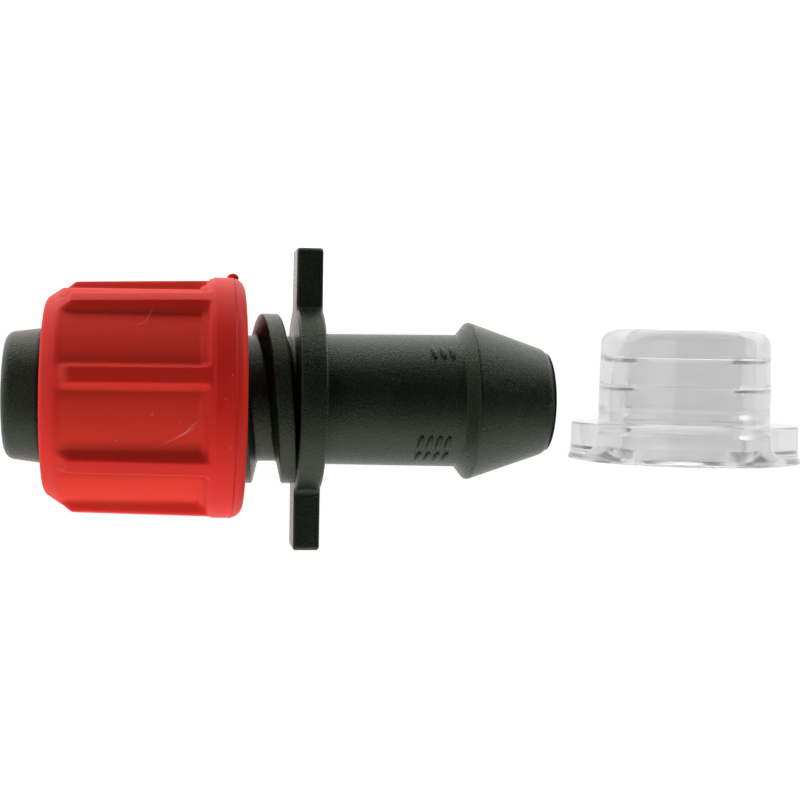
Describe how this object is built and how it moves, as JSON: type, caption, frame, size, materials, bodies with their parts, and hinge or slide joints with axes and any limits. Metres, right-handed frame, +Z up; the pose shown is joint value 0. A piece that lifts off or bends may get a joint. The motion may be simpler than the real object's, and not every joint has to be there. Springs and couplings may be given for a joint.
{
  "type": "drip tape take-off connector",
  "caption": "Barbed connector that feeds thin drip tape from a pipe: winged flange, coarse thread, ribbed lock nut and a soft pipe grommet beside it.",
  "frame": {"origin": "on the water way's axis, in the plane of the flange face that seats against the pipe grommet", "axes": "+X along the water way from the tape nose to the pipe barb, +Y along one wing, +Z up from the bench that the connector lies on"},
  "size_m": [0.0983, 0.0364, 0.0292],
  "materials": {
    "body_plastic": "black injection-moulded plastic with a fine spark texture",
    "nut_plastic": "red injection-moulded plastic, satin ribs and duller grooves",
    "ring_plastic": "natural slippery plastic",
    "silicone": "clear soft silicone, glossy outside"
  },
  "bodies": {
    "connector": {"connector_body": "body_plastic"},
    "slip_ring": {"clamp_ring": "ring_plastic"},
    "nut": {"lock_nut": "nut_plastic"},
    "pipe_grommet": {"grommet": "silicone"}
  },
  "joints": [
    {"name": "nut_travel", "type": "slide", "parent": "connector", "child": "slip_ring", "axis": [1, 0, 0], "range_m": [-0.00095, 0.00555]},
    {"name": "nut_turn", "type": "hinge", "parent": "slip_ring", "child": "nut", "pos_m": [-0.0295, 0, 0], "axis": [1, 0, 0], "range_deg": [-60, 360]},
    {"name": "grommet_turn", "type": "hinge", "parent": "connector", "child": "pipe_grommet", "pos_m": [0.0465, 0, 0], "axis": [0, 0, 1], "range_deg": [-90, 0]}
  ],
  "couplings": [
    {"joint": "nut_travel", "follows": "nut_turn", "m_per_rad": 0.00087535}
  ]
}
